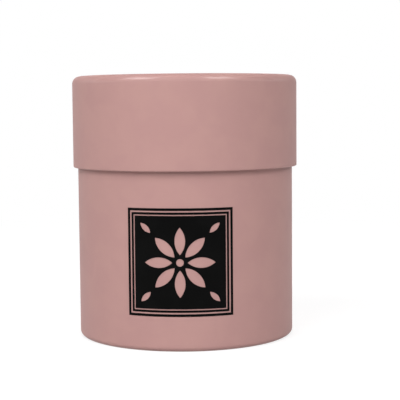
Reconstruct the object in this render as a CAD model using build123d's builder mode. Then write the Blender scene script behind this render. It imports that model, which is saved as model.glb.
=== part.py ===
"""Cylindrical gift tube box: a wound paper base and a slip lid that goes over it, both curled at
their closed end over a disc of board, and both covered in one printed paper.

Millimetres, +Z up. The origin is the middle of the foot, on the surface that the box stands on,
and the printed panel faces -Y.
"""
import os
from dataclasses import dataclass
from math import cos, degrees, radians, sin

from build123d import *

# The whole box
box_height = 75.0
lid_diameter = 65.0
lid_depth = 26.1
lid_clearance = 0.31

# Papers and boards
wrap_paper = 0.12
lining_paper = 0.10
liner_paper = 0.10
lid_board = 0.70
base_board = 0.80
lid_disc_board = 1.20
base_disc_board = 1.20

# The curl round the lid's top, from the inside of its bend
rim_bend = 1.28
rim_flat = 0.30
rim_tail = 0.30

# The pressed curl that is the base's foot
foot_bend = 0.38
foot_flat = 0.60
foot_tail = 0.30

# The open edges, where the wrap is folded over and glued down inside
edge_round = 0.15
lid_turn_in = 9.0
base_turn_in = 12.0

# The overlap where each wrap's two ends meet, at the back
seam_lap = 8.0
base_seam_angle = 90.0
lid_seam_angle = 115.0

# The print on the front of the base
print_side = 29.35
print_above_foot = 9.72
print_ink = 0.03
print_standoff = 0.04
outer_rule = 0.70
outer_gap = 0.42
inner_rule = 0.62
inner_gap = 0.31

# The flower left bare in the print, as shares of the side of the ink's field
petal_count = 8
petal_start_share = 0.082
petal_end_share = 0.377
petal_half_width_share = 0.057
flower_eye_share = 0.041
corner_leaf_half_length_share = 0.075
corner_leaf_half_width_share = 0.029
corner_leaf_inset_share = 0.13

cut_overrun = 1.0
front_angle = -90.0


@dataclass(frozen=True)
class Shell:
    """The tube of one half of the box, measured from the outside of its wrap."""

    outer_radius: float
    board: float
    closed_z: float
    mouth_z: float
    bend: float
    flat: float
    tail: float
    turn_in: float

    @property
    def inward(self):
        """Which way along Z leads from the open mouth into the tube."""
        return 1 if self.closed_z > self.mouth_z else -1

    @property
    def wall(self):
        return wrap_paper + self.board + lining_paper

    @property
    def bore_radius(self):
        return self.outer_radius - self.wall

    @property
    def mouth_radius(self):
        """The bore where the folded-in wrap narrows it."""
        return self.bore_radius - wrap_paper

    @property
    def curl_radius(self):
        """The outside of each bend in the curl."""
        return self.bend + self.wall

    @property
    def leg_radius(self):
        """The inner face of the curl, where it turns back into the tube."""
        return self.outer_radius - 2 * self.curl_radius - self.flat

    @property
    def leg_end_z(self):
        """Where the curl ends and bears on the disc's facing."""
        return self.closed_z - self.inward * (self.curl_radius + self.tail)


# The lid, which the base then fits
lid_shell = Shell(
    outer_radius=lid_diameter / 2,
    board=lid_board,
    closed_z=box_height,
    mouth_z=box_height - lid_depth,
    bend=rim_bend,
    flat=rim_flat,
    tail=rim_tail,
    turn_in=lid_turn_in,
)
lid_disc_top = lid_shell.leg_end_z - wrap_paper
lid_disc_bottom = lid_disc_top - lid_disc_board
lid_ceiling_z = lid_disc_bottom - liner_paper

# The base, whose rim stops the lid's ceiling
base_shell = Shell(
    outer_radius=lid_shell.mouth_radius - lid_clearance,
    board=base_board,
    closed_z=0,
    mouth_z=lid_ceiling_z,
    bend=foot_bend,
    flat=foot_flat,
    tail=foot_tail,
    turn_in=base_turn_in,
)
base_disc_bottom = base_shell.leg_end_z + wrap_paper
base_disc_top = base_disc_bottom + base_disc_board

# How far in from the panel's edge each line of the print starts or ends
inner_rule_start = outer_rule + outer_gap
inner_rule_end = inner_rule_start + inner_rule
field_start = inner_rule_end + inner_gap


def radial_plane(angle):
    """The upright plane through the box's axis whose X points out at `angle` degrees."""
    turn = radians(angle)
    return Plane((0, 0, 0), x_dir=(cos(turn), sin(turn), 0), z_dir=(sin(turn), -cos(turn), 0))


def wrap_line(shell, depth):
    """One face of the wrap, `depth` under its outside, from the turned-in end to the curl's end."""
    into = shell.inward
    folded = shell.mouth_radius + depth
    outside = shell.outer_radius - depth
    leg = shell.leg_radius + depth
    mouth = shell.mouth_z + into * depth
    closed = shell.closed_z - into * depth
    edge = wrap_paper + edge_round - depth
    bend = shell.curl_radius - depth
    return FilletPolyline(
        (folded, shell.mouth_z + into * shell.turn_in),
        (folded, mouth),
        (outside, mouth),
        (outside, closed),
        (leg, closed),
        (leg, shell.leg_end_z),
        radius=[edge, edge, bend, bend],
    )


def wrap_section(shell):
    """Half section of the wrap: one sheet folded in at the mouth and carried round the curl."""
    with BuildSketch(Plane.XZ) as section:
        with BuildLine():
            shown = wrap_line(shell, 0)
            glued = wrap_line(shell, wrap_paper)
            Line(shown @ 0, glued @ 0)
            Line(shown @ 1, glued @ 1)
        make_face()
    return section.sketch


def seam_patch(shell, angle):
    """The second thickness of the wrap where it laps over itself, on the straight of the wall."""
    half_lap = degrees(seam_lap / 2 / shell.outer_radius)
    mouth_end = shell.mouth_z + shell.inward * (wrap_paper + edge_round)
    curl_end = shell.closed_z - shell.inward * shell.curl_radius
    low = min(mouth_end, curl_end)
    with BuildSketch(radial_plane(angle - half_lap)) as section:
        with Locations((shell.outer_radius, low)):
            Rectangle(wrap_paper, abs(curl_end - mouth_end), align=(Align.MIN, Align.MIN))
    return section.sketch, 2 * half_lap


def core_line(shell, depth):
    """One face of the tube, `depth` under the wrap's outside, from the curl's end to mid-mouth."""
    into = shell.inward
    wall = shell.outer_radius - depth
    leg = shell.leg_radius + depth
    mouth = shell.mouth_z + into * wrap_paper
    closed = shell.closed_z - into * depth
    mid_wall = (shell.outer_radius - wrap_paper + shell.bore_radius) / 2
    bend = shell.curl_radius - depth
    return FilletPolyline(
        (leg, shell.leg_end_z),
        (leg, closed),
        (wall, closed),
        (wall, mouth),
        (mid_wall, mouth),
        radius=[bend, bend, edge_round],
    )


def lining_line(shell, depth):
    """One face of the lining, carried past the tube's rounded mouth."""
    into = shell.inward
    wall = shell.outer_radius - depth
    leg = shell.leg_radius + depth
    closed = shell.closed_z - into * depth
    bend = shell.curl_radius - depth
    return FilletPolyline(
        (leg, shell.leg_end_z),
        (leg, closed),
        (wall, closed),
        (wall, shell.mouth_z),
        radius=[bend, bend],
    )


def tube_section(shell, kept):
    """Half section of the wound board, or with Mode.INTERSECT of the lining inside it."""
    with BuildSketch(Plane.XZ) as section:
        with BuildLine():
            outside = core_line(shell, wrap_paper)
            inside = core_line(shell, shell.wall)
            Line(outside @ 0, inside @ 0)
        make_face()
        with BuildLine():
            backed = lining_line(shell, wrap_paper + shell.board)
            bare = lining_line(shell, shell.wall)
            Line(backed @ 0, bare @ 0)
            Line(backed @ 1, bare @ 1)
        make_face(mode=kept)
    return section.sketch


def panel_block(inset):
    """The ink's thickness over the printed panel, `inset` in from its outer edge all round.

    It stands off the paper by a hair, so that the two round faces don't cross once they are faceted.
    """
    back = base_shell.outer_radius + print_standoff
    half_turn = degrees((print_side / 2 - inset) / base_shell.outer_radius)
    height = print_side - 2 * inset
    with BuildPart() as block:
        with BuildSketch(radial_plane(front_angle - half_turn)):
            with Locations((back, print_above_foot + inset)):
                Rectangle(print_ink, height, align=(Align.MIN, Align.MIN))
        revolve(axis=Axis.Z, revolution_arc=2 * half_turn)
    return block.part


def leaf(half_length, half_width):
    """A pointed leaf along Y, its two sides round arcs."""
    with BuildSketch() as shape:
        with BuildLine():
            ThreePointArc((0, -half_length), (half_width, 0), (0, half_length))
            ThreePointArc((0, half_length), (-half_width, 0), (0, -half_length))
        make_face()
    return shape.sketch


def flower_cutter():
    """The flower and the four corner leaves that the ink leaves bare, through the front wall."""
    panel_middle = Plane(
        (0, 0, print_above_foot + print_side / 2), x_dir=(1, 0, 0), z_dir=(0, -1, 0)
    )
    field_side = print_side - 2 * field_start
    petal_start = field_side * petal_start_share
    petal_end = field_side * petal_end_share
    petal = leaf((petal_end - petal_start) / 2, field_side * petal_half_width_share)
    corner_leaf = leaf(
        field_side * corner_leaf_half_length_share, field_side * corner_leaf_half_width_share
    )
    corner = field_side / 2 - field_side * corner_leaf_inset_share
    reach = base_shell.outer_radius / 2
    with BuildPart() as cutter:
        with BuildSketch(panel_middle.offset(reach)):
            Circle(field_side * flower_eye_share)
            with PolarLocations((petal_start + petal_end) / 2, petal_count, start_angle=90):
                add(petal, rotation=-90)
            with Locations((corner, corner), (-corner, -corner)):
                add(corner_leaf, rotation=-45)
            with Locations((-corner, corner), (corner, -corner)):
                add(corner_leaf, rotation=45)
        extrude(amount=reach + cut_overrun)
    return cutter.part


def print_fits():
    """Print the fits that the sizes above come to."""
    print(f"base {base_shell.outer_radius:.2f} in a lid mouth of {lid_shell.mouth_radius:.2f}")
    print(f"base rim at {lid_ceiling_z:.2f}, lid overlap {lid_ceiling_z - lid_shell.mouth_z:.2f}")
    print(f"lid facing at {lid_shell.leg_end_z:.2f}, base floor at {base_disc_top + liner_paper:.2f}")
    print(f"rim's inner face {lid_shell.leg_radius:.2f}, foot's inner face {base_shell.leg_radius:.2f}")


os.makedirs("parts", exist_ok=True)
print_fits()

# The base

with BuildPart() as base_tube:
    revolve(tube_section(base_shell, Mode.SUBTRACT), axis=Axis.Z)
base_tube.part.label = "base_tube"
export_step(base_tube.part, "parts/base_tube.step")

with BuildPart() as base_lining:
    revolve(tube_section(base_shell, Mode.INTERSECT), axis=Axis.Z)
base_lining.part.label = "base_lining"
export_step(base_lining.part, "parts/base_lining.step")

with BuildPart() as base_wrap:
    revolve(wrap_section(base_shell), axis=Axis.Z)
    patch, patch_arc = seam_patch(base_shell, base_seam_angle)
    revolve(patch, axis=Axis.Z, revolution_arc=patch_arc)
base_wrap.part.label = "base_wrap"
export_step(base_wrap.part, "parts/base_wrap.step")

with BuildPart() as base_underside_facing:
    with BuildSketch(Plane.XY.offset(base_shell.leg_end_z)):
        Circle(base_shell.bore_radius)
    extrude(amount=wrap_paper)
base_underside_facing.part.label = "base_underside_facing"
export_step(base_underside_facing.part, "parts/base_underside_facing.step")

with BuildPart() as base_disc:
    with BuildSketch(Plane.XY.offset(base_disc_bottom)):
        Circle(base_shell.bore_radius)
    extrude(amount=base_disc_board)
base_disc.part.label = "base_disc"
export_step(base_disc.part, "parts/base_disc.step")

with BuildPart() as base_floor_liner:
    with BuildSketch(Plane.XY.offset(base_disc_top)):
        Circle(base_shell.bore_radius)
    extrude(amount=liner_paper)
base_floor_liner.part.label = "base_floor_liner"
export_step(base_floor_liner.part, "parts/base_floor_liner.step")

# The print on the base

with BuildPart() as print_outer_rule:
    add(panel_block(0))
    add(panel_block(outer_rule), mode=Mode.SUBTRACT)
print_outer_rule.part.label = "print_outer_rule"
export_step(print_outer_rule.part, "parts/print_outer_rule.step")

with BuildPart() as print_inner_rule:
    add(panel_block(inner_rule_start))
    add(panel_block(inner_rule_end), mode=Mode.SUBTRACT)
print_inner_rule.part.label = "print_inner_rule"
export_step(print_inner_rule.part, "parts/print_inner_rule.step")

with BuildPart() as print_field:
    add(panel_block(field_start))
    add(flower_cutter(), mode=Mode.SUBTRACT)
print_field.part.label = "print_field"
export_step(print_field.part, "parts/print_field.step")

# The lid

with BuildPart() as lid_tube:
    revolve(tube_section(lid_shell, Mode.SUBTRACT), axis=Axis.Z)
lid_tube.part.label = "lid_tube"
export_step(lid_tube.part, "parts/lid_tube.step")

with BuildPart() as lid_lining:
    revolve(tube_section(lid_shell, Mode.INTERSECT), axis=Axis.Z)
lid_lining.part.label = "lid_lining"
export_step(lid_lining.part, "parts/lid_lining.step")

with BuildPart() as lid_wrap:
    revolve(wrap_section(lid_shell), axis=Axis.Z)
    patch, patch_arc = seam_patch(lid_shell, lid_seam_angle)
    revolve(patch, axis=Axis.Z, revolution_arc=patch_arc)
lid_wrap.part.label = "lid_wrap"
export_step(lid_wrap.part, "parts/lid_wrap.step")

with BuildPart() as lid_top_facing:
    with BuildSketch(Plane.XY.offset(lid_disc_top)):
        Circle(lid_shell.bore_radius)
    extrude(amount=wrap_paper)
lid_top_facing.part.label = "lid_top_facing"
export_step(lid_top_facing.part, "parts/lid_top_facing.step")

with BuildPart() as lid_disc:
    with BuildSketch(Plane.XY.offset(lid_disc_bottom)):
        Circle(lid_shell.bore_radius)
    extrude(amount=lid_disc_board)
lid_disc.part.label = "lid_disc"
export_step(lid_disc.part, "parts/lid_disc.step")

with BuildPart() as lid_ceiling_liner:
    with BuildSketch(Plane.XY.offset(lid_ceiling_z)):
        Circle(lid_shell.bore_radius)
    extrude(amount=liner_paper)
lid_ceiling_liner.part.label = "lid_ceiling_liner"
export_step(lid_ceiling_liner.part, "parts/lid_ceiling_liner.step")
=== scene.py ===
"""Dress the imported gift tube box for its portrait.

The box stands on the floor at the origin, in metres, with its printed panel towards -Y. The wound
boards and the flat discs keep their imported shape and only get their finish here. The papers of the
round walls, and the ink of the print, are made again as fine sheets: a strip is folded to its
section, spun round the box's axis, thickened, and brought from millimetres to metres.
"""
import logging
import math
import random
from dataclasses import dataclass
from enum import Enum
from typing import Callable, Sequence

import bmesh
import bpy
from mathutils import Matrix, Vector


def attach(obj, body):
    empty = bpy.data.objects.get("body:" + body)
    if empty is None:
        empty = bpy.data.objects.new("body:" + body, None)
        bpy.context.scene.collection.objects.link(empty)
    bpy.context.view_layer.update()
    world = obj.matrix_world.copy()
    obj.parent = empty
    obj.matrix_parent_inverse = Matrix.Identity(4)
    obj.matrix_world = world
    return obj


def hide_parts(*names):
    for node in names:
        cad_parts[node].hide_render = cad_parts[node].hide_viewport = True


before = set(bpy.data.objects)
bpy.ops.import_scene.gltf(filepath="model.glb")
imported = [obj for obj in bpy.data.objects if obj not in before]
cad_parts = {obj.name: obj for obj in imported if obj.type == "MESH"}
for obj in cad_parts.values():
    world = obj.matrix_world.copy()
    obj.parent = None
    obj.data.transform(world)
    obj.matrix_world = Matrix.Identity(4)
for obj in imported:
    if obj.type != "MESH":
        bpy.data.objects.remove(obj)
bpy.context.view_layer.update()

log = logging.getLogger("gift_box")

MM = 0.001
ORIGIN = (0.0, 0.0, 0.0)
UPRIGHT = (0.0, 0.0, 1.0)
INTO_PANEL = (0.0, 1.0, 0.0)
WHITE = (1.0, 1.0, 1.0)
SMOOTH = {"interpolation_type": "SMOOTHSTEP"}
BEHIND = {"offset": -1, "use_even_offset": True, "material_offset_rim": 1}

# How near, in millimetres, counts as one point, and as the same place
SAME_POINT = 1e-4
SAME_PLACE = 1e-3

Colour = tuple[float, float, float]
Range = tuple[float, float]
Material = bpy.types.Material
Outputs = bpy.types.bpy_prop_collection
Piece = bpy.types.Object
Socket = bpy.types.NodeSocket
Tree = bpy.types.NodeTree


class Body(Enum):
    """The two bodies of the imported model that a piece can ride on."""

    BASE = "base"
    LID = "lid"


class Stock(Enum):
    """What a new piece is made of, by the record's material slots."""

    PRINTED = "printed_paper"
    WHITE = "white_paper"
    INK = "black_ink"


class Shown(Enum):
    """Which way the shown face of a sheet looks on the wall."""

    OUTWARDS = 1
    INWARDS = -1


class Pick(Enum):
    """What is picked out of a piece in edit mode."""

    POINTS = "VERT"
    FACES = "FACE"


def seen(red: int, green: int, blue: int) -> Colour:
    """Turn a colour of a screen, each part 0 to 255, into the linear one that shaders take."""
    shares = (red / 255, green / 255, blue / 255)
    return tuple(s / 12.92 if s <= 0.04045 else ((s + 0.055) / 1.055) ** 2.4 for s in shares)


# Shaping sheets


def clear_selection() -> None:
    """Go back to object mode and leave nothing selected."""
    if bpy.context.object and bpy.context.object.mode != "OBJECT":
        bpy.ops.object.mode_set(mode="OBJECT")
    bpy.ops.object.select_all(action="DESELECT")


def choose(piece: Piece) -> None:
    """Make a piece the only one selected, in object mode.

    Args:
        piece: The piece.
    """
    clear_selection()
    piece.select_set(True)
    bpy.context.view_layer.objects.active = piece


def edit(piece: Piece) -> None:
    """Open a piece in edit mode with all of it selected, point by point.

    Args:
        piece: The piece.
    """
    choose(piece)
    bpy.ops.object.mode_set(mode="EDIT")
    bpy.ops.mesh.select_mode(type="VERT")
    bpy.ops.mesh.select_all(action="SELECT")


def pick(piece: Piece, kind: Pick, wanted: Callable[[Vector], bool]) -> None:
    """Select the points or the faces of a piece in edit mode whose place passes a test.

    Args:
        piece: The piece being edited.
        kind: Whether points or faces are selected.
        wanted: The test of a point's place or of a face's middle.
    """
    bpy.ops.mesh.select_mode(type=kind.value)
    bpy.ops.mesh.select_all(action="DESELECT")
    mesh = bmesh.from_edit_mesh(piece.data)
    if kind is Pick.POINTS:
        picked = [point for point in mesh.verts if wanted(point.co)]
    else:
        picked = [face for face in mesh.faces if wanted(face.calc_center_median())]
    for part in picked:
        part.select_set(True)
    mesh.select_flush_mode()
    bmesh.update_edit_mesh(piece.data)


def start_line(name: str, place: Vector) -> Piece:
    """Start a piece from one point, which is a small plane merged together.

    Args:
        name: The piece's name.
        place: Where the point is.

    Returns:
        The piece, in edit mode with its point selected.
    """
    clear_selection()
    bpy.ops.mesh.primitive_plane_add(size=1, location=place)
    piece = bpy.context.object
    piece.name = piece.data.name = name
    bpy.ops.object.transform_apply()
    edit(piece)
    bpy.ops.mesh.merge(type="CENTER")
    return piece


def draw_to(step: Sequence[float]) -> None:
    """Extrude the selected points by one step."""
    bpy.ops.mesh.extrude_region_move(TRANSFORM_OT_translate={"value": tuple(step)})


def spin_selected(
    steps: int, angle: float, center: Sequence[float] = ORIGIN, axis: Sequence[float] = UPRIGHT
) -> None:
    """Spin what is selected by an angle in radians, by the right-hand rule."""
    # With no window the operator turns the other way.
    bpy.ops.mesh.spin(steps=steps, angle=-angle, center=tuple(center), axis=tuple(axis))


def merge_doubles() -> None:
    """Select all of the piece being edited and merge its doubled points."""
    bpy.ops.mesh.select_all(action="SELECT")
    bpy.ops.mesh.remove_doubles(threshold=SAME_POINT)


def close_skin(piece: Piece, shown: Shown) -> None:
    """Merge the doubled points of a skin and point its faces the way that they are shown.

    Args:
        piece: The skin, in edit mode.
        shown: Which way its largest faces look.
    """
    merge_doubles()
    bpy.ops.mesh.normals_make_consistent(inside=False)
    wall = max(bmesh.from_edit_mesh(piece.data).faces, key=lambda face: face.calc_area())
    middle = wall.calc_center_median()
    if wall.normal.dot(Vector((middle.x, middle.y, 0.0))) * shown.value < 0:
        bpy.ops.mesh.flip_normals()


def modify(piece: Piece, kind: str, **settings: Piece | str | float) -> None:
    """Give a piece a modifier and apply it.

    Args:
        piece: The piece.
        kind: The modifier's type, such as SOLIDIFY.
        **settings: Values for the modifier's properties.
    """
    choose(piece)
    modifier = piece.modifiers.new(kind.lower(), kind)
    for name, value in settings.items():
        setattr(modifier, name, value)
    bpy.ops.object.modifier_apply(modifier=modifier.name)


def bring_to_metres(piece: Piece, crease_angle: float) -> Piece:
    """Scale a finished piece from millimetres to metres and smooth it up to its creases.

    Args:
        piece: The piece, in millimetres.
        crease_angle: The angle in degrees past which an edge stays sharp.

    Returns:
        The piece.
    """
    choose(piece)
    piece.scale = (MM, MM, MM)
    bpy.ops.object.transform_apply()
    bpy.ops.object.shade_smooth_by_angle(angle=math.radians(crease_angle))
    return piece


def turn_of(place: Vector) -> float:
    """Return the direction of a place round the box's axis, in degrees from +X, 0 to 360."""
    return math.degrees(math.atan2(place.y, place.x)) % 360


def far_out(place: Vector) -> float:
    """Return how far a place lies from the box's axis."""
    return math.hypot(place.x, place.y)


# Wiring shaders


class Wiring:
    """Adds the nodes of one shader tree and joins them."""

    def __init__(self, tree: Tree) -> None:
        """Keep the tree that is wired."""
        self.tree = tree

    @classmethod
    def of(cls, owner: Material | bpy.types.World) -> "Wiring":
        """Start the nodes of a new material or world afresh.

        Args:
            owner: The material or world.

        Returns:
            The wiring of its empty tree.
        """
        owner.use_nodes = True
        owner.node_tree.nodes.clear()
        return cls(owner.node_tree)

    def add(
        self, kind: str, settings: dict | None = None, **inputs: Socket | tuple | float
    ) -> bpy.types.Node:
        """Add a node.

        Args:
            kind: The node's type, such as ShaderNodeMath.
            settings: Values for the node's own properties.
            **inputs: A value or a socket for each input, by its name with underscores for
                spaces, or by its number after an underscore.

        Returns:
            The node.
        """
        node = self.tree.nodes.new(kind)
        for name, value in (settings or {}).items():
            setattr(node, name, value)
        for name, value in inputs.items():
            socket = node.inputs[int(name[1:]) if name[0] == "_" else name.replace("_", " ")]
            if isinstance(value, Socket):
                self.tree.links.new(value, socket)
            elif isinstance(value, tuple) and socket.type == "RGBA":
                socket.default_value = (*value, 1.0)
            else:
                socket.default_value = value
        return node

    def sum(self, operation: str, *values: Socket | float, clamp: bool = False) -> Socket:
        """Add a Math node.

        Args:
            operation: What the node works out, such as MULTIPLY.
            *values: One to three sockets or numbers.
            clamp: Whether the result is kept from 0 to 1.

        Returns:
            The result.
        """
        numbered = {f"_{place}": value for place, value in enumerate(values)}
        settings = {"operation": operation, "use_clamp": clamp}
        return self.add("ShaderNodeMath", settings, **numbered).outputs[0]

    def place(self) -> Socket:
        """Return the place on the piece, in its own coordinates."""
        return self.add("ShaderNodeTexCoord").outputs["Object"]

    def height(self, place: Socket) -> Socket:
        """Return the Z of a place or of a direction."""
        return self.add("ShaderNodeSeparateXYZ", Vector=place).outputs["Z"]

    def ramp(self, value: Socket, low: float, high: float) -> Socket:
        """Return a smooth 0 to 1 as the value goes from low to high."""
        node = self.add("ShaderNodeMapRange", SMOOTH, Value=value, From_Min=low, From_Max=high)
        return node.outputs[0]

    def spread(self, value: Socket, low: float, high: float) -> Socket:
        """Return low to high as the value goes from 0 to 1."""
        return self.add("ShaderNodeMapRange", Value=value, To_Min=low, To_Max=high).outputs[0]

    def blend(self, share: Socket, first: Socket | Colour, second: Socket | Colour) -> Socket:
        """Mix two colours by a share from 0 to 1 and return the mixed colour."""
        node = self.add("ShaderNodeMix", {"data_type": "RGBA"}, _0=share, _6=first, _7=second)
        return node.outputs[2]

    def noise(
        self, place: Socket, scale: Socket | float, detail: float, distortion: float = 0.0
    ) -> Socket:
        """Return noise from 0 to 1 with so many grains to the metre."""
        look = {"Detail": detail, "Distortion": distortion}
        return self.add("ShaderNodeTexNoise", Vector=place, Scale=scale, **look).outputs[0]

    def effect(self, group: Tree, **inputs: float) -> Outputs:
        """Place a shared effect with its own values and return its outputs."""
        return self.add("ShaderNodeGroup", {"node_tree": group}, **inputs).outputs

    def relief(self, *layers: tuple[Socket, float]) -> Socket:
        """Lay bumps over each other.

        Args:
            *layers: Each a height from 0 to 1 and the depth in metres that it stands for.

        Returns:
            The normal that the last bump puts out.
        """
        under = {}
        for height, depth in layers:
            bump = self.add("ShaderNodeBump", Height=height, Distance=depth, Strength=1.0, **under)
            under = {"Normal": bump.outputs[0]}
        return under["Normal"]

    def either(self, share: Socket, first: Socket, second: Socket) -> Socket:
        """Mix two shaders by a share from 0 to 1 and return the mixed shader."""
        return self.add("ShaderNodeMixShader", _0=share, _1=first, _2=second).outputs[0]

    def shine(self, strength: Socket | float, kind: str = "ShaderNodeEmission") -> Socket:
        """Add white light, from a surface or from the world's background, and return it."""
        return self.add(kind, Color=WHITE, Strength=strength).outputs[0]

    def paint(self, **inputs: Socket | Colour | float) -> Socket:
        """Add the Principled shader of a surface and return it."""
        return self.add("ShaderNodeBsdfPrincipled", **inputs).outputs[0]

    def cover(self, surface: Socket, kind: str = "ShaderNodeOutputMaterial") -> None:
        """Join a shader to the output of the material or the world."""
        self.add(kind, Surface=surface)

    def finish(self, **inputs: Socket | Colour | float) -> None:
        """Cover the material with the Principled shader alone."""
        self.cover(self.paint(**inputs))


def new_effect(
    name: str, inputs: dict[str, float], outputs: Sequence[str]
) -> tuple[Wiring, Outputs]:
    """Start a shader node group.

    Args:
        name: The group's name.
        inputs: Each input's name and its value when nothing is joined to it.
        outputs: The outputs' names.

    Returns:
        The wiring of the group's tree, and the sockets that its inputs come from.
    """
    tree = bpy.data.node_groups.new(name, "ShaderNodeTree")
    number = {"socket_type": "NodeSocketFloat"}
    for label, value in inputs.items():
        tree.interface.new_socket(name=label, in_out="INPUT", **number).default_value = value
    for label in outputs:
        tree.interface.new_socket(name=label, in_out="OUTPUT", **number)
    wiring = Wiring(tree)
    return wiring, wiring.add("NodeGroupInput").outputs


@dataclass
class Effects:
    """The shader node groups that the papers, the board and the ink share."""

    grain_stretch: float = 2.6
    scuff_size: float = 0.0011
    scuff_range: Range = (0.42, 0.68)
    rub_falloff: float = 1.6
    winding_pitch: float = 0.06
    turns_ahead: float = 8.0

    def __post_init__(self) -> None:
        """Build every group once."""
        self.grain = self.build_grain()
        self.rub = self.build_rub()
        self.winding = self.build_winding()

    def build_grain(self) -> Tree:
        """Build the look of felted fibre.

        Returns:
            A group that puts out Fibre, the fine relief of the sheet, Cloud, its slow change of
            tone, and Cockle, the slight unevenness of a glued sheet, each 0 to 1.
        """
        wiring, given = new_effect(
            "paper_grain",
            {"Fibre Size": 0.00035, "Cloud Size": 0.008, "Cockle Size": 0.016},
            ("Fibre", "Cloud", "Cockle"),
        )
        place = wiring.place()
        stretch = (1.0, 1.0, self.grain_stretch)
        along = wiring.add("ShaderNodeMapping", Vector=place, Scale=stretch).outputs[0]
        layers = {}
        for label, spot, detail, distortion in (
            ("Fibre", along, 5.0, 0.9),
            ("Cloud", place, 3.0, 0.3),
            ("Cockle", along, 1.0, 0.0),
        ):
            scale = wiring.sum("DIVIDE", 1.0, given[f"{label} Size"])
            layers[label] = wiring.noise(spot, scale, detail, distortion)
        wiring.add("NodeGroupOutput", **layers)
        return wiring.tree

    def build_rub(self) -> Tree:
        """Build the wear of a folded edge.

        Returns:
            A group that puts out Rubbed, 0 to 1, highest along the fold at the given height and
            broken up into small scuffs.
        """
        wiring, given = new_effect(
            "edge_rub", {"Fold Height": 0.0, "Reach": 0.0006, "Amount": 0.5}, ("Rubbed",)
        )
        place = wiring.place()
        above = wiring.sum("SUBTRACT", wiring.height(place), given["Fold Height"])
        share = wiring.sum("DIVIDE", wiring.sum("ABSOLUTE", above), given["Reach"])
        near = wiring.sum("SUBTRACT", 1.0, share, clamp=True)
        scuff = wiring.ramp(wiring.noise(place, 1 / self.scuff_size, 7.0, 0.4), *self.scuff_range)
        worn = wiring.sum("MULTIPLY", wiring.sum("POWER", near, self.rub_falloff), scuff)
        rubbed = wiring.sum("MULTIPLY", worn, given["Amount"], clamp=True)
        wiring.add("NodeGroupOutput", Rubbed=rubbed)
        return wiring.tree

    def build_winding(self) -> Tree:
        """Build the spiral butt line of a wound tube.

        Returns:
            A group that puts out Line, 1 on the line and 0 away from it, for a strip that climbs
            the given pitch in each turn round the axis.
        """
        wiring, given = new_effect(
            "spiral_winding", {"Pitch": self.winding_pitch, "Line Width": 0.0004}, ("Line",)
        )
        parts = wiring.add("ShaderNodeSeparateXYZ", Vector=wiring.place()).outputs
        turn = wiring.sum("DIVIDE", wiring.sum("ARCTAN2", parts["Y"], parts["X"]), math.tau)
        climb = wiring.sum("DIVIDE", parts["Z"], given["Pitch"])
        wound = wiring.sum("ADD", wiring.sum("ADD", turn, climb), self.turns_ahead)
        strip = wiring.sum("FRACT", wound)
        edge = wiring.sum("MINIMUM", strip, wiring.sum("SUBTRACT", 1.0, strip))
        away = wiring.sum("MULTIPLY", edge, given["Pitch"])
        share = wiring.sum("DIVIDE", away, given["Line Width"])
        line = wiring.sum("SUBTRACT", 1.0, share, clamp=True)
        wiring.add("NodeGroupOutput", Line=line)
        return wiring.tree


# Finishes


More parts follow.
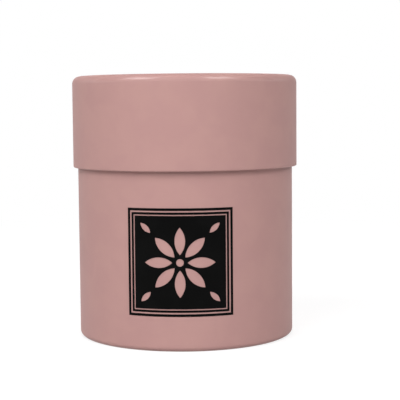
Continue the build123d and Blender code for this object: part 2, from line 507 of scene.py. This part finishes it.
@dataclass(frozen=True)
class RosePaper:
    """The rose paper: printed all over in one tint and sealed with a satin film."""

    effects: Effects
    tint: Colour = seen(189, 147, 142)
    deep_tint: Colour = seen(186, 144, 140)
    bare: Colour = seen(222, 190, 184)
    cloud_range: Range = (0.36, 0.66)
    speck_range: Range = (0.66, 0.80)
    speck_share: float = 0.10
    satin: float = 0.56
    satin_spread: float = 0.10
    burnished: float = 0.24
    glaze: float = 0.45
    glaze_blur: float = 0.14
    shoulder_fade: float = 0.4
    slant_range: Range = (0.35, 0.70)
    specular: float = 0.3
    winding_width: float = 0.0016
    cockle_depth: float = 0.00003
    winding_depth: float = 0.000003
    fibre_depth: float = 0.0000035

    def material(
        self,
        name: str,
        folds: Sequence[tuple[float, float, float]] = (),
        shoulder: Range | None = None,
    ) -> Material:
        """Make the finish for one piece.

        Args:
            name: The material's name.
            folds: The height, the reach and the amount of wear of each folded edge, in metres.
            shoulder: The lowest and highest place of the shoulder that the curling tool has
                burnished, if it has.

        Returns:
            The material.
        """
        material = bpy.data.materials.new(name)
        wiring = Wiring.of(material)
        grain = wiring.effect(self.effects.grain)
        winding = wiring.effect(self.effects.winding, Line_Width=self.winding_width)
        cloud = wiring.ramp(grain["Cloud"], *self.cloud_range)
        colour = wiring.blend(cloud, self.deep_tint, self.tint)
        speck = wiring.ramp(grain["Fibre"], *self.speck_range)
        colour = wiring.blend(wiring.sum("MULTIPLY", speck, self.speck_share), colour, self.bare)
        for height, reach, amount in folds:
            rub = wiring.effect(self.effects.rub, Fold_Height=height, Reach=reach, Amount=amount)
            colour = wiring.blend(rub["Rubbed"], colour, self.bare)
        rough = self.satin - self.satin_spread / 2
        coat = {}
        if shoulder:
            polish = self.polish(wiring, *shoulder)
            rough = wiring.sum("MULTIPLY_ADD", polish, self.burnished - self.satin, rough)
            coat["Coat_Weight"] = wiring.sum("MULTIPLY", polish, self.glaze)
            coat["Coat_Roughness"] = self.glaze_blur
        wiring.finish(
            Base_Color=colour,
            Roughness=wiring.sum("MULTIPLY_ADD", grain["Fibre"], self.satin_spread, rough),
            Normal=wiring.relief(
                (grain["Cockle"], self.cockle_depth),
                (winding["Line"], self.winding_depth),
                (grain["Fibre"], self.fibre_depth),
            ),
            Specular_IOR_Level=self.specular,
            **coat,
        )
        return material

    def polish(self, wiring: Wiring, low: float, high: float) -> Socket:
        """Burnish a shoulder, up to where it slants away from the eye and looks dull again.

        Args:
            wiring: The material's wiring.
            low: The shoulder's lowest place, in metres.
            high: Its highest place.

        Returns:
            The polish, 0 to 1.
        """
        blur = (high - low) * self.shoulder_fade
        height = wiring.height(wiring.place())
        rise, fall = wiring.ramp(height, low, low + blur), wiring.ramp(height, high - blur, high)
        band = wiring.sum("SUBTRACT", rise, fall, clamp=True)
        slant = wiring.add("ShaderNodeLayerWeight", Blend=0.5).outputs["Facing"]
        facing = wiring.sum("SUBTRACT", 1.0, wiring.ramp(slant, *self.slant_range))
        return wiring.sum("MULTIPLY", band, facing)


@dataclass(frozen=True)
class WhitePaper:
    """Uncoated white paper, with the spiral line of its winding where it lines a tube."""

    effects: Effects
    sheet: Colour = seen(240, 237, 232)
    shade: Colour = seen(233, 229, 223)
    line: Colour = seen(198, 190, 178)
    fibre: float = 0.0005
    cloud_range: Range = (0.35, 0.68)
    fleck_range: Range = (0.64, 0.82)
    fleck_share: float = 0.25
    rough_range: Range = (0.72, 0.92)
    specular: float = 0.3
    line_width: float = 0.00035
    line_share: float = 0.8
    line_depth: float = 0.00006
    cockle_depth: float = 0.00004
    fibre_depth: float = 0.000012

    def material(self, name: str, wound: bool = False) -> Material:
        """Make the finish for one kind of piece.

        Args:
            name: The material's name.
            wound: Whether the paper is wound into a tube, so that its spiral line shows.

        Returns:
            The material.
        """
        material = bpy.data.materials.new(name)
        wiring = Wiring.of(material)
        grain = wiring.effect(self.effects.grain, Fibre_Size=self.fibre)
        cloud = wiring.ramp(grain["Cloud"], *self.cloud_range)
        colour = wiring.blend(cloud, self.shade, self.sheet)
        fleck = wiring.ramp(grain["Fibre"], *self.fleck_range)
        colour = wiring.blend(wiring.sum("MULTIPLY", fleck, self.fleck_share), colour, self.line)
        layers = [(grain["Cockle"], self.cockle_depth), (grain["Fibre"], self.fibre_depth)]
        if wound:
            winding = wiring.effect(self.effects.winding, Line_Width=self.line_width)
            seam = wiring.sum("MULTIPLY", winding["Line"], self.line_share)
            colour = wiring.blend(seam, colour, self.line)
            layers.insert(1, (seam, -self.line_depth))
        wiring.finish(
            Base_Color=colour,
            Roughness=wiring.spread(grain["Fibre"], *self.rough_range),
            Normal=wiring.relief(*layers),
            Specular_IOR_Level=self.specular,
        )
        return material


@dataclass(frozen=True)
class WoundBoard:
    """Grey recycled board, flecked with darker and lighter fibre."""

    effects: Effects
    pulp: Colour = seen(158, 145, 129)
    dark: Colour = seen(112, 99, 84)
    pale: Colour = seen(197, 186, 170)
    fibre: float = 0.0007
    cloud: float = 0.004
    pale_range: Range = (0.58, 0.72)
    rough_range: Range = (0.82, 0.97)
    specular: float = 0.25
    fibre_depth: float = 0.00004

    def material(self, name: str) -> Material:
        """Make the board's finish.

        Args:
            name: The material's name.

        Returns:
            The material.
        """
        material = bpy.data.materials.new(name)
        wiring = Wiring.of(material)
        grain = wiring.effect(self.effects.grain, Fibre_Size=self.fibre, Cloud_Size=self.cloud)
        colour = wiring.blend(grain["Cloud"], self.dark, self.pulp)
        pale = wiring.ramp(grain["Fibre"], *self.pale_range)
        wiring.finish(
            Base_Color=wiring.blend(pale, colour, self.pale),
            Roughness=wiring.spread(grain["Fibre"], *self.rough_range),
            Normal=wiring.relief((grain["Fibre"], self.fibre_depth)),
            Specular_IOR_Level=self.specular,
        )
        return material


@dataclass(frozen=True)
class BlackInk:
    """Black ink, laid on thickly enough to hide the tint but not the paper's grain."""

    effects: Effects
    full: Colour = seen(4, 4, 4)
    thin: Colour = seen(12, 12, 12)
    starved_range: Range = (0.55, 0.78)
    starved_share: float = 0.6
    uneven_range: Range = (0.38, 0.66)
    uneven_share: float = 0.35
    rough_range: Range = (0.42, 0.60)
    specular: float = 0.06
    cockle_depth: float = 0.00003
    fibre_depth: float = 0.000004

    def material(self, name: str) -> Material:
        """Make the ink's finish.

        Args:
            name: The material's name.

        Returns:
            The material.
        """
        material = bpy.data.materials.new(name)
        wiring = Wiring.of(material)
        grain = wiring.effect(self.effects.grain)
        starved = wiring.ramp(grain["Fibre"], *self.starved_range)
        uneven = wiring.ramp(grain["Cloud"], *self.uneven_range)
        uneven = wiring.sum("MULTIPLY", uneven, self.uneven_share)
        share = wiring.sum("MULTIPLY_ADD", starved, self.starved_share, uneven)
        wiring.finish(
            Base_Color=wiring.blend(share, self.full, self.thin),
            Roughness=wiring.spread(grain["Fibre"], *self.rough_range),
            Normal=wiring.relief(
                (grain["Cockle"], self.cockle_depth), (grain["Fibre"], self.fibre_depth)
            ),
            Specular_IOR_Level=self.specular,
        )
        return material


class Finishes:
    """The finishes of the box, made once and handed to the pieces."""

    def __init__(self) -> None:
        """Make every material but those of the wraps, which depend on where each is folded."""
        effects = Effects()
        white = WhitePaper(effects)
        self.rose = RosePaper(effects)
        self.disc_rose = self.rose.material("rose_paper_disc")
        self.lining = white.material("white_lining", wound=True)
        self.liner = white.material("white_liner")
        self.core = white.material("white_core")
        self.board = WoundBoard(effects).material("grey_board")
        self.ink = BlackInk(effects).material("black_ink")


def lay_on(piece: Piece, *finishes: Material) -> Piece:
    """Give a piece its finishes in place of those that it has.

    Args:
        piece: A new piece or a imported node.
        *finishes: The finish of its faces, then that of its cut edges where it has one.

    Returns:
        The piece.
    """
    piece.data.materials.clear()
    for finish in finishes:
        piece.data.materials.append(finish)
    return piece


def stand_for(node: str, piece: Piece, body: Body) -> Piece:
    """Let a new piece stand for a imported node.

    Args:
        node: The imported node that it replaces.
        piece: The new piece.
        body: The body that it rides on.

    Returns:
        The piece.
    """
    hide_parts(node)
    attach(piece, body.value)
    return piece


# The box


@dataclass(frozen=True)
class Fold:
    """One point of a sheet's section, and how the paper bends there, if it does."""

    out: float
    height: float
    bend: float = 0.0
    steps: int = 0

    @property
    def place(self) -> Vector:
        """Where the sharp corner is, in the plane that the section is drawn in."""
        return Vector((self.out, 0.0, self.height))


def spin_sheet(name: str, folds: Sequence[Fold], shown: Shown, columns: int) -> Piece:
    """Fold a strip to its section and spin it round the box's axis.

    Args:
        name: The sheet's name.
        folds: The points of the section's line, from one cut edge to the other.
        shown: Which way the shown face looks on the wall.
        columns: How many columns of faces go round.

    Returns:
        The sheet, one skin thick, in edit mode.
    """
    piece = start_line(name, folds[0].place)
    for before, after in zip(folds, folds[1:]):
        draw_to(after.place - before.place)
    for fold in folds:
        if fold.bend:
            pick(piece, Pick.POINTS, lambda place: (place - fold.place).length < SAME_PLACE)
            bpy.ops.mesh.bevel(
                offset=fold.bend, segments=fold.steps, affect="VERTICES", clamp_overlap=False
            )
    bpy.ops.mesh.select_all(action="SELECT")
    spin_selected(columns, math.tau)
    close_skin(piece, shown)
    return piece


@dataclass
class TubeHalf:
    """One half of the box: a wound tube, curled over its disc, under a wrap and over a lining.

    Sizes are in millimetres and angles in degrees, but the shoulder, and the reach that comes
    before the amount in each pair of wear, are in metres, as its finish takes them.
    """

    name: str
    body: Body
    facing: str
    liner: str
    outer_radius: float
    bore_radius: float
    mouth_radius: float
    closed_z: float
    mouth_z: float
    curl_bend: float
    curl_flat: float
    leg_end_z: float
    turn_in: float
    seam_turn: float
    closed_wear: Range
    chance_seed: int
    mouth_wear: Range = (0.0004, 0.25)
    shoulder: Range | None = None
    wrap_paper: float = 0.12
    lining_paper: float = 0.10
    edge_bend: float = 0.27
    seam_lap: float = 8.0
    cut_turn: float = 0.12
    near_turn: float = 4.0
    outer_skin: float = 0.1
    pleats: int = 46
    pleat_depth: float = 0.05
    pleat_stray: float = 0.3
    pleat_width: float = 0.75
    pleat_shares: tuple[float, ...] = (0.75, 0.45, 0.15)
    columns: int = 216
    curl_steps: int = 12
    edge_steps: int = 4
    ring_inset: float = 0.6
    crease_angle: float = 38.0

    @property
    def inward(self) -> int:
        """Which way along Z leads from the open mouth into the tube."""
        return 1 if self.closed_z > self.mouth_z else -1

    @property
    def leg_radius(self) -> float:
        """The inner face of the curl, where it turns back into the tube."""
        return self.outer_radius - 2 * self.curl_bend - self.curl_flat

    @property
    def wall(self) -> float:
        """The whole wall: wrap, board and lining."""
        return self.outer_radius - self.bore_radius

    def lap_reach(self) -> Range:
        """Return where the lap's full thickness ends, towards the mouth and towards the curl."""
        near_mouth = self.mouth_z + self.inward * (self.edge_bend + self.ring_inset)
        return near_mouth, self.closed_z - self.inward * (self.curl_bend + self.ring_inset)

    def thicken(self, piece: Piece, paper: float) -> Piece:
        """Thicken a skin behind its shown face, bring it to metres and return it."""
        modify(piece, "SOLIDIFY", thickness=paper, **BEHIND)
        return bring_to_metres(piece, self.crease_angle)

    def build_wrap(self) -> Piece:
        """Fold, spin and lap the printed wrap.

        Returns:
            The wrap, closed and in metres.
        """
        edge, curl = (self.edge_bend, self.edge_steps), (self.curl_bend, self.curl_steps)
        folds = (
            Fold(self.mouth_radius, self.mouth_z + self.inward * self.turn_in),
            Fold(self.mouth_radius, self.mouth_z, *edge),
            Fold(self.outer_radius, self.mouth_z, *edge),
            *(Fold(self.outer_radius, height) for height in self.lap_reach()),
            Fold(self.outer_radius, self.closed_z, *curl),
            Fold(self.leg_radius, self.closed_z, *curl),
            Fold(self.leg_radius, self.leg_end_z),
        )
        piece = spin_sheet(f"{self.name}_wrap_sheet", folds, Shown.OUTWARDS, self.columns)
        self.raise_lap(piece)
        self.pleat_curl(piece)
        return self.thicken(piece, self.wrap_paper)

    def raise_lap(self, piece: Piece) -> None:
        """Raise the strip where the wrap's outer end lies over its start.

        One side of the strip is a cut edge, and on the other the paper ramps down over the end
        that lies under it.

        Args:
            piece: The wrap's skin, in edit mode.
        """
        half = math.degrees(self.seam_lap / 2 / self.outer_radius)
        cut = self.seam_turn - half
        low, high = sorted(self.lap_reach())
        outside = self.outer_radius - self.outer_skin
        for turn in (cut - self.cut_turn, cut):
            pick(
                piece,
                Pick.FACES,
                lambda middle: abs(turn_of(middle) - turn) < self.near_turn
                and far_out(middle) > outside,
            )
            angle = math.radians(turn)
            across = (-math.sin(angle), math.cos(angle), 0.0)
            bpy.ops.mesh.bisect(plane_co=ORIGIN, plane_no=across)
        pick(
            piece,
            Pick.POINTS,
            lambda place: cut - self.cut_turn / 2 < turn_of(place) < self.seam_turn + half
            and low - SAME_PLACE < place.z < high + SAME_PLACE
            and far_out(place) > outside,
        )
        rise = (self.outer_radius + self.wrap_paper) / self.outer_radius
        bpy.ops.transform.resize(value=(rise, rise, 1.0), center_override=ORIGIN)

    def pleat_curl(self, piece: Piece) -> None:
        """Pinch fine pleats into the wrap where the curl draws it in towards the disc.

        Args:
            piece: The wrap's skin, in edit mode.
        """
        chance = random.Random(self.chance_seed)
        stray = self.pleat_stray
        turns = [
            (count + chance.uniform(-stray, stray)) * 360 / self.pleats
            for count in range(self.pleats)
        ]
        width = 360 / self.columns * self.pleat_width
        leg = abs(self.leg_end_z - self.closed_z) + SAME_PLACE
        pinch = 1 + self.pleat_depth / len(self.pleat_shares) / self.leg_radius
        for share in self.pleat_shares:
            reach = self.leg_radius + (self.curl_bend + self.curl_flat / 2) * share
            pick(
                piece,
                Pick.POINTS,
                lambda place: far_out(place) < reach
                and abs(place.z - self.closed_z) < leg
                and any(abs((turn_of(place) - turn + 180) % 360 - 180) < width for turn in turns),
            )
            bpy.ops.transform.resize(value=(pinch, pinch, 1.0), center_override=ORIGIN)

    def build_lining(self) -> Piece:
        """Fold and spin the white lining, with the wall side of the curl that it follows.

        Returns:
            The lining, closed and in metres.
        """
        closed = self.closed_z - self.inward * self.wall
        leg = self.leg_radius + self.wall
        curl = (self.curl_bend - self.wall, self.edge_steps)
        folds = (
            Fold(self.bore_radius, self.mouth_z + self.inward * self.edge_bend),
            Fold(self.bore_radius, closed, *curl),
            Fold(leg, closed, *curl),
            Fold(leg, self.leg_end_z),
        )
        piece = spin_sheet(f"{self.name}_lining_sheet", folds, Shown.INWARDS, self.columns)
        return self.thicken(piece, self.lining_paper)

    def build(self, finishes: Finishes) -> list[Piece]:
        """Make the wrap and the lining, and dress every piece of the half.

        Args:
            finishes: The box's finishes.

        Returns:
            The pieces, the new ones first.
        """
        wear = (self.closed_z * MM, *self.closed_wear), (self.mouth_z * MM, *self.mouth_wear)
        rose = finishes.rose.material(f"rose_paper_{self.name}", wear, self.shoulder)
        wrap = lay_on(self.build_wrap(), rose, finishes.core)
        lining = lay_on(self.build_lining(), finishes.lining, finishes.core)
        packed = {
            "tube": finishes.board,
            "disc": finishes.board,
            self.facing: finishes.disc_rose,
            self.liner: finishes.liner,
        }
        return [
            stand_for(f"{self.name}_wrap", wrap, self.body),
            stand_for(f"{self.name}_lining", lining, self.body),
        ] + [lay_on(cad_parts[f"{self.name}_{node}"], packed[node]) for node in packed]


@dataclass
class BaseHalf(TubeHalf):
    """The base: its curl is pressed flat into the foot that the box stands on."""

    name: str = "base"
    body: Body = Body.BASE
    facing: str = "underside_facing"
    liner: str = "floor_liner"
    outer_radius: float = 31.15
    bore_radius: float = 30.13
    mouth_radius: float = 30.01
    closed_z: float = 0.0
    mouth_z: float = 71.08
    curl_bend: float = 1.40
    curl_flat: float = 0.60
    leg_end_z: float = 1.70
    turn_in: float = 12.0
    seam_turn: float = 90.0
    closed_wear: Range = (0.0009, 0.22)
    chance_seed: int = 5
    pleat_depth: float = 0.03
    curl_steps: int = 10


@dataclass
class LidHalf(TubeHalf):
    """The lid: its curl is a full round rim that stands up past the disc."""

    name: str = "lid"
    body: Body = Body.LID
    facing: str = "top_facing"
    liner: str = "ceiling_liner"
    outer_radius: float = 32.50
    bore_radius: float = 31.58
    mouth_radius: float = 31.46
    closed_z: float = 75.0
    mouth_z: float = 48.9
    curl_bend: float = 2.20
    curl_flat: float = 0.30
    leg_end_z: float = 72.50
    turn_in: float = 9.0
    seam_turn: float = 115.0
    closed_wear: Range = (0.0007, 0.08)
    chance_seed: int = 80
    shoulder: Range = (0.0724, 0.0747)


@dataclass(frozen=True)
class Leaves:
    """A ring of pointed leaves round the flower's middle, in shares of the field's side."""

    start: float
    end: float
    half_width: float
    count: int
    first: float = 0.0


@dataclass
class PrintedPanel:
    """The black square printed on the front of the base, its rules and the flower left bare.

    Sizes are in millimetres, and shares are of the side of the field.
    """

    back_radius: float = 31.19
    paper_radius: float = 31.15
    ink: float = 0.03
    side: float = 29.35
    above_foot: float = 9.72
    outer_rule: float = 0.70
    outer_gap: float = 0.42
    inner_rule: float = 0.62
    inner_gap: float = 0.31
    petals: Leaves = Leaves(0.082, 0.377, 0.057, 8)
    eye_share: float = 0.041
    corner_inset_share: float = 0.13
    corner_half_length_share: float = 0.075
    corner_half_width_share: float = 0.029
    across_steps: int = 48
    arc_steps: int = 18
    eye_steps: int = 40
    overrun: float = 1.0
    crease_angle: float = 30.0

    @property
    def inner_rule_start(self) -> float:
        """How far in from the panel's edge the inner rule starts."""
        return self.outer_rule + self.outer_gap

    @property
    def field_start(self) -> float:
        """How far in from the panel's edge the field starts."""
        return self.inner_rule_start + self.inner_rule + self.inner_gap

    @property
    def field_side(self) -> float:
        """The side of the field."""
        return self.side - 2 * self.field_start

    @property
    def cutter_start(self) -> Vector:
        """Where the cutters start behind the flower's middle, inside the base."""
        return Vector((0.0, -self.paper_radius / 2, self.above_foot + self.side / 2))

    @property
    def cutter_depth(self) -> float:
        """How far the cutters reach from there, out through the front."""
        return self.paper_radius / 2 + self.overrun

    def arc(self, length: float) -> float:
        """Return the angle in radians that a length along the paper spans."""
        return length / self.paper_radius

    def lay_square(self, name: str, inset: float, *runs: tuple[float, int]) -> Piece:
        """Draw the left side of a square up from its corner and sweep it round to the right.

        Args:
            name: The piece's name.
            inset: How far in from the panel's edge the square starts.
            *runs: The lengths that its side is made of, each with its steps round the base.

        Returns:
            The square's skin, in edit mode.
        """
        left = -math.pi / 2 - self.arc(self.side / 2 - inset)
        out = self.back_radius * Vector((math.cos(left), math.sin(left), 0.0))
        piece = start_line(name, out + Vector((0.0, 0.0, self.above_foot + inset)))
        for length, _ in runs:
            draw_to((0.0, 0.0, length))
        bpy.ops.mesh.select_all(action="SELECT")
        for length, steps in runs:
            spin_selected(steps, self.arc(length))
        return piece

    def thicken(self, piece: Piece) -> None:
        """Point a skin outwards and give it the ink's thickness."""
        close_skin(piece, Shown.OUTWARDS)
        modify(piece, "SOLIDIFY", thickness=self.ink, offset=1)

    def build_rule(self, name: str, inset: float, width: float) -> Piece:
        """Make one square rule: a swept sheet whose middle is taken out.

        Args:
            name: The piece's name.
            inset: How far in from the panel's edge the rule starts.
            width: The rule's width.

        Returns:
            The rule, in metres.
        """
        inner = self.side - 2 * inset - 2 * width
        runs = ((width, 1), (inner, self.across_steps), (width, 1))
        piece = self.lay_square(name, inset, *runs)
        middle_z = self.above_foot + self.side / 2
        reach = self.arc(inner / 2)
        pick(
            piece,
            Pick.FACES,
            lambda middle: abs(middle.z - middle_z) < inner / 2
            and abs(math.radians(turn_of(middle) - 270)) < reach,
        )
        bpy.ops.mesh.delete(type="FACE")
        self.thicken(piece)
        return bring_to_metres(piece, self.crease_angle)

    def build_leaves(self, leaves: Leaves) -> Piece:
        """Make a ring of leaves that cut through the front of the base.

        Args:
            leaves: The ring, its first leaf turned so many radians from upright.

        Returns:
            The cutter, in millimetres.
        """
        centre = self.cutter_start
        sizes = (leaves.start, leaves.end, leaves.half_width)
        inner, outer, half_width = (share * self.field_side for share in sizes)
        half_length = (outer - inner) / 2
        bow = (half_length ** 2 + half_width ** 2) / (2 * half_width)
        sweep = 2 * math.asin(half_length / bow)
        middle = centre + Vector((0.0, 0.0, (inner + outer) / 2))
        piece = start_line("leaf_cutter", centre + Vector((0.0, 0.0, inner)))
        for side in (1, -1):
            bow_middle = middle + Vector((side * (bow - half_width), 0.0, 0.0))
            spin_selected(self.arc_steps, sweep, bow_middle, INTO_PANEL)
        merge_doubles()
        bpy.ops.mesh.edge_face_add()
        round_centre = {"orient_axis": "Y", "center_override": centre}
        bpy.ops.transform.rotate(value=leaves.first, **round_centre)
        for _ in range(leaves.count - 1):
            bpy.ops.mesh.duplicate()
            bpy.ops.transform.rotate(value=math.tau / leaves.count, **round_centre)
        bpy.ops.mesh.select_all(action="SELECT")
        draw_to((0.0, -self.cutter_depth, 0.0))
        bpy.ops.mesh.select_all(action="SELECT")
        bpy.ops.mesh.normals_make_consistent(inside=False)
        return piece

    def build_eye(self) -> Piece:
        """Make the round cutter of the flower's eye.

        Returns:
            The cutter, in millimetres.
        """
        clear_selection()
        bpy.ops.mesh.primitive_cylinder_add(
            vertices=self.eye_steps,
            radius=self.field_side * self.eye_share,
            depth=self.cutter_depth,
            location=self.cutter_start - Vector((0.0, self.cutter_depth / 2, 0.0)),
            rotation=(math.pi / 2, 0.0, 0.0),
        )
        bpy.ops.object.transform_apply()
        return bpy.context.object

    def build_field(self) -> Piece:
        """Make the field and cut the flower and its corner leaves out of it.

        Returns:
            The field, in metres.
        """
        side = (self.field_side, self.across_steps)
        piece = self.lay_square("field_ink", self.field_start, side)
        self.thicken(piece)
        middle = math.sqrt(2) * (0.5 - self.corner_inset_share)
        reach = self.corner_half_length_share
        width = self.corner_half_width_share
        corners = Leaves(middle - reach, middle + reach, width, 4, math.pi / 4)
        flower = (self.build_leaves(leaves) for leaves in (self.petals, corners))
        for cutter in (self.build_eye(), *flower):
            modify(piece, "BOOLEAN", operation="DIFFERENCE", solver="EXACT", object=cutter)
            bpy.data.objects.remove(cutter)
        edit(piece)
        merge_doubles()
        return bring_to_metres(piece, self.crease_angle)

    def build(self, finishes: Finishes) -> list[Piece]:
        """Make and dress the three pieces of the print.

        Args:
            finishes: The box's finishes.

        Returns:
            The pieces.
        """
        inner = (self.inner_rule_start, self.inner_rule)
        pieces = {
            "print_outer_rule": self.build_rule("outer_rule_ink", 0.0, self.outer_rule),
            "print_inner_rule": self.build_rule("inner_rule_ink", *inner),
            "print_field": self.build_field(),
        }
        return [
            stand_for(node, lay_on(piece, finishes.ink), Body.BASE)
            for node, piece in pieces.items()
        ]


# The studio


@dataclass
class Softbox:
    """One soft lamp: where it stands from the box, how large it is and how bright.

    A fill lamp lights the paper but leaves no glint on it.
    """

    name: str
    turn: float
    lift: float
    away: float
    width: float
    height: float
    power: float
    glints: bool = True

    def build(self, aim: Vector) -> None:
        """Hang the lamp and point it.

        Args:
            aim: Where it points.
        """
        turn, lift = math.radians(self.turn), math.radians(self.lift)
        level = math.cos(lift)
        direction = Vector((math.sin(turn) * level, -math.cos(turn) * level, math.sin(lift)))
        lamp = bpy.data.lights.new(self.name, "AREA")
        lamp.shape = "RECTANGLE"
        lamp.size = self.width
        lamp.size_y = self.height
        lamp.energy = self.power
        holder = bpy.data.objects.new(self.name, lamp)
        holder.visible_glossy = self.glints
        bpy.context.scene.collection.objects.link(holder)
        holder.location = aim + direction * self.away
        holder.rotation_euler = (-direction).to_track_quat("-Z", "Y").to_euler()


@dataclass
class Studio:
    """The pale floor, the soft light and the camera, which stands as the photographer's did.

    Lengths are in metres and the camera's small angles in radians.
    """

    walls: float = 0.30
    ceiling: float = 0.10
    dimming_range: Range = (0.15, 0.75)
    mirrored_range: Range = (0.20, 0.45)
    aim_height: float = 0.04
    camera_away: float = 0.3466
    camera_height: float = 0.067
    camera_turn: float = 3.02
    camera_pitch: float = 0.08138
    camera_yaw: float = 0.01228
    camera_roll: float = 0.0085
    focal_pixels: float = 1185.0
    picture_pixels: float = 400.0
    sensor_width: float = 36.0
    nearest: float = 0.01
    farthest: float = 20.0
    floor_size: float = 6.0
    floor_cuts: int = 7
    floor_fade: Range = (0.06, 0.34)
    floor_mottle: float = 0.09
    floor_dark: Colour = (0.47, 0.47, 0.47)
    floor_light: Colour = (0.50, 0.50, 0.50)
    shadow_catch: Colour = (0.32, 0.32, 0.32)
    shadow_glow: float = 0.74

    def build(self) -> None:
        """Set up the floor, the light, the camera and the view."""
        self.lay_floor()
        self.light_room()
        lamps = (
            Softbox("left_softbox", -54.0, 48.0, 1.40, 0.62, 0.62, 6.10),
            Softbox("right_softbox", 46.0, 48.0, 1.40, 0.52, 0.52, 4.90),
            Softbox("front_left_fill", -35.0, 38.0, 1.60, 0.90, 0.90, 8.20, glints=False),
            Softbox("front_fill", 0.0, 38.0, 1.60, 0.90, 0.90, 5.40, glints=False),
            Softbox("front_right_fill", 35.0, 38.0, 1.60, 0.90, 0.90, 4.30, glints=False),
            Softbox("back_fill", 180.0, 22.0, 1.60, 1.40, 1.00, 17.0, glints=False),
        )
        for lamp in lamps:
            lamp.build(Vector((0.0, 0.0, self.aim_height)))
        self.place_camera()
        bpy.context.scene.view_settings.view_transform = "Standard"
        log.info("studio: floor, %d lamps and camera", len(lamps))

    def lay_floor(self) -> None:
        """Lay the floor. It fades to plain white away from the box, where no shadow falls."""
        clear_selection()
        bpy.ops.mesh.primitive_plane_add(size=self.floor_size, location=ORIGIN)
        floor = bpy.context.object
        floor.name = "studio_floor"
        edit(floor)
        bpy.ops.mesh.subdivide(number_cuts=self.floor_cuts)
        clear_selection()
        material = bpy.data.materials.new("pale_floor")
        wiring = Wiring.of(material)
        place = wiring.place()
        away = wiring.add("ShaderNodeVectorMath", {"operation": "LENGTH"}, _0=place)
        far = wiring.ramp(away.outputs["Value"], *self.floor_fade)
        mottle = wiring.noise(place, 1 / self.floor_mottle, 2.0)
        tone = wiring.blend(mottle, self.floor_dark, self.floor_light)
        paint = wiring.paint(Base_Color=tone, Roughness=0.9, Specular_IOR_Level=0.1)
        catch = wiring.add("ShaderNodeBsdfDiffuse", Color=self.shadow_catch).outputs[0]
        glow = wiring.shine(self.shadow_glow)
        near = wiring.add("ShaderNodeAddShader", _0=catch, _1=glow).outputs[0]
        backdrop = wiring.either(far, near, wiring.shine(1.0))
        wiring.cover(wiring.either(self.looked_at(wiring), paint, backdrop))
        lay_on(floor, material)

    def looked_at(self, wiring: Wiring, mirrored: Socket | float = 1.0) -> Socket:
        """Tell the rays that see the white background from those that carry its light.

        Args:
            wiring: The node tree.
            mirrored: How much of the white background a glossy ray sees, 0 to 1.

        Returns:
            1 for camera and transmission rays, the given share for glossy rays, 0 for the rest.
        """
        rays = wiring.add("ShaderNodeLightPath").outputs
        glossy = wiring.sum("MULTIPLY", rays["Is Glossy Ray"], mirrored)
        direct = wiring.sum("MAXIMUM", rays["Is Camera Ray"], glossy)
        return wiring.sum("MAXIMUM", direct, rays["Is Transmission Ray"])

    def light_room(self) -> None:
        """Make the room white to the eye, with weak light that lessens towards the ceiling.

        Glossy rays see the white near the horizon alone, so overhead the paper mirrors none of it.
        """
        world = bpy.data.worlds.new("studio_room")
        bpy.context.scene.world = world
        wiring = Wiring.of(world)
        lift = wiring.height(wiring.add("ShaderNodeTexCoord").outputs["Generated"])
        dimmed = wiring.ramp(lift, *self.dimming_range)
        strength = wiring.sum("MULTIPLY_ADD", dimmed, self.ceiling - self.walls, self.walls)
        mirrored = wiring.sum("SUBTRACT", 1.0, wiring.ramp(lift, *self.mirrored_range))
        room = wiring.shine(strength, "ShaderNodeBackground")
        backdrop = wiring.shine(1.0, "ShaderNodeBackground")
        surface = wiring.either(self.looked_at(wiring, mirrored), room, backdrop)
        wiring.cover(surface, "ShaderNodeOutputWorld")

    def place_camera(self) -> None:
        """Stand the camera where the photograph was taken from."""
        turn = Matrix.Rotation(math.radians(self.camera_turn), 4, "Z")
        stand = Matrix.Translation((0.0, -self.camera_away, self.camera_height))
        yaw = Matrix.Rotation(-self.camera_yaw, 4, "Z")
        pitch = Matrix.Rotation(math.pi / 2 - self.camera_pitch, 4, "X")
        roll = Matrix.Rotation(-self.camera_roll, 4, "Z")
        lens = bpy.data.cameras.new("portrait_camera")
        lens.sensor_width = self.sensor_width
        lens.lens = self.focal_pixels / self.picture_pixels * self.sensor_width
        lens.clip_start = self.nearest
        lens.clip_end = self.farthest
        camera = bpy.data.objects.new("portrait_camera", lens)
        bpy.context.scene.collection.objects.link(camera)
        camera.matrix_world = turn @ stand @ yaw @ pitch @ roll
        bpy.context.scene.camera = camera


def main() -> None:
    """Build and report the base, the print and the lid, then set up the studio."""
    logging.basicConfig(level=logging.INFO, format="%(name)s: %(message)s")
    finishes = Finishes()
    for part in (BaseHalf(), PrintedPanel(), LidHalf()):
        for piece in part.build(finishes):
            look = piece.data.materials[0].name
            log.info("%s: %d faces, %s", piece.name, len(piece.data.polygons), look)
    Studio().build()
    clear_selection()


if __name__ == "__main__":
    main()
